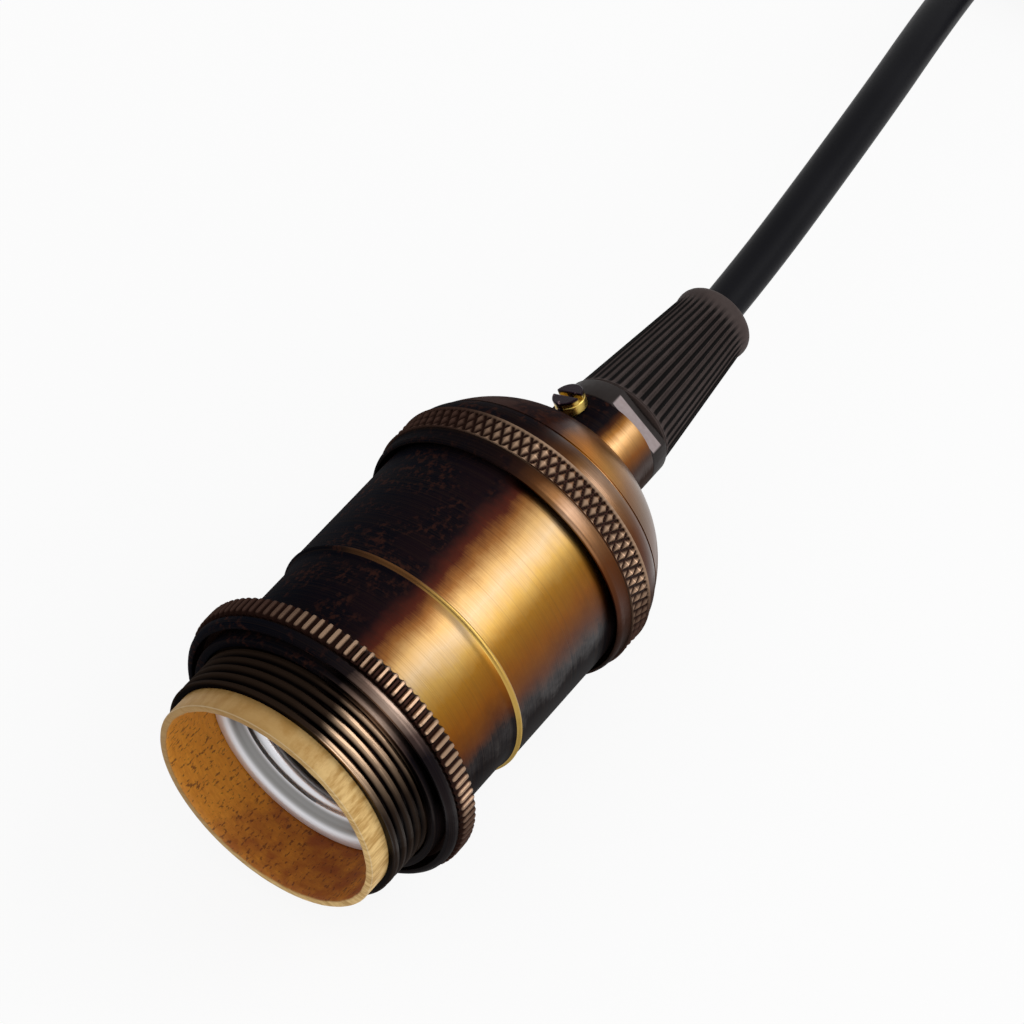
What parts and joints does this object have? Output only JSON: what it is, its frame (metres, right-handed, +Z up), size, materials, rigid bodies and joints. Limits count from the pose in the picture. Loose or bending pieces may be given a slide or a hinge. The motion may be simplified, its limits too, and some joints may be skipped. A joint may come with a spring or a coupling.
{
  "type": "lamp holder",
  "caption": "Brass lamp holder with a screw-in lamp socket, knurled shade ring, domed cap, set screw, ribbed cord grip and black cord.",
  "frame": {"origin": "centre of the mouth, on the lamp axis at the end of the liner", "axes": "+Y along the lamp axis from the mouth to the cord, +Z up as it lies on its side"},
  "size_m": [0.0587, 0.3055, 0.044],
  "materials": {
    "antique_brass": "brushed",
    "bright_brass": "polished",
    "aluminium": "satin",
    "card": "matte",
    "porcelain": "glossy",
    "black_plastic": "matte",
    "nylon": "matte",
    "zinc_steel": "satin",
    "cord_pvc": "satin",
    "core_brown": "satin",
    "core_blue": "satin",
    "core_green": "satin",
    "cord_cores": "satin"
  },
  "bodies": {
    "cap_body": {"cap": "antique_brass", "grip_body": "black_plastic", "grip_collet": "nylon", "lock_nut": "zinc_steel", "screw_shell": "aluminium", "insulator": "porcelain", "centre_terminal": "bright_brass", "side_terminal": "bright_brass", "centre_terminal_screw": "bright_brass", "side_terminal_screw": "bright_brass", "strap": "zinc_steel", "strap_screw_lower": "zinc_steel", "strap_screw_upper": "zinc_steel", "earth_screw": "bright_brass", "side_rivet": "bright_brass", "shell_rivet": "bright_brass", "live_core": "core_brown", "neutral_core": "core_blue", "earth_core": "core_green", "cord": "cord_pvc", "cord_coil": "cord_pvc", "coil_tie": "black_plastic", "cord_tail": "cord_cores"},
    "liner_body": {"liner": "card"},
    "shell_body": {"shell": "antique_brass"},
    "ring_body": {"shade_ring": "antique_brass"},
    "set_screw_body": {"set_screw": "bright_brass"},
    "grip_nut_body": {"grip_nut": "black_plastic"},
    "contact_body": {"centre_contact": "bright_brass"}
  },
  "joints": [
    {"name": "shell_advance", "type": "slide", "parent": "cap_body", "child": "liner_body", "axis": [0, -1, 0], "range_m": [0, 0.0038]},
    {"name": "shell_unscrew", "type": "hinge", "parent": "liner_body", "child": "shell_body", "pos_m": [0, 0.03, 0], "axis": [0, -1, 0], "range_deg": [0, 1080]},
    {"name": "ring_travel", "type": "slide", "parent": "shell_body", "child": "ring_body", "axis": [0, -1, 0], "range_m": [0, 0.008]},
    {"name": "set_screw_turn", "type": "hinge", "parent": "cap_body", "child": "set_screw_body", "pos_m": [0, 0.0719, 0], "axis": [-0.3811, 0, 0.9245], "range_deg": [0, 360]},
    {"name": "grip_nut_turn", "type": "hinge", "parent": "cap_body", "child": "grip_nut_body", "pos_m": [0, 0.09, 0], "axis": [0, 1, 0], "range_deg": [0, 360]},
    {"name": "contact_press", "type": "slide", "parent": "cap_body", "child": "contact_body", "axis": [0, 1, 0], "range_m": [0, 0.0012], "stiffness_N_per_m": 4000}
  ],
  "couplings": [
    {"joint": "shell_advance", "follows": "shell_unscrew", "m_per_rad": 0.00019894}
  ]
}
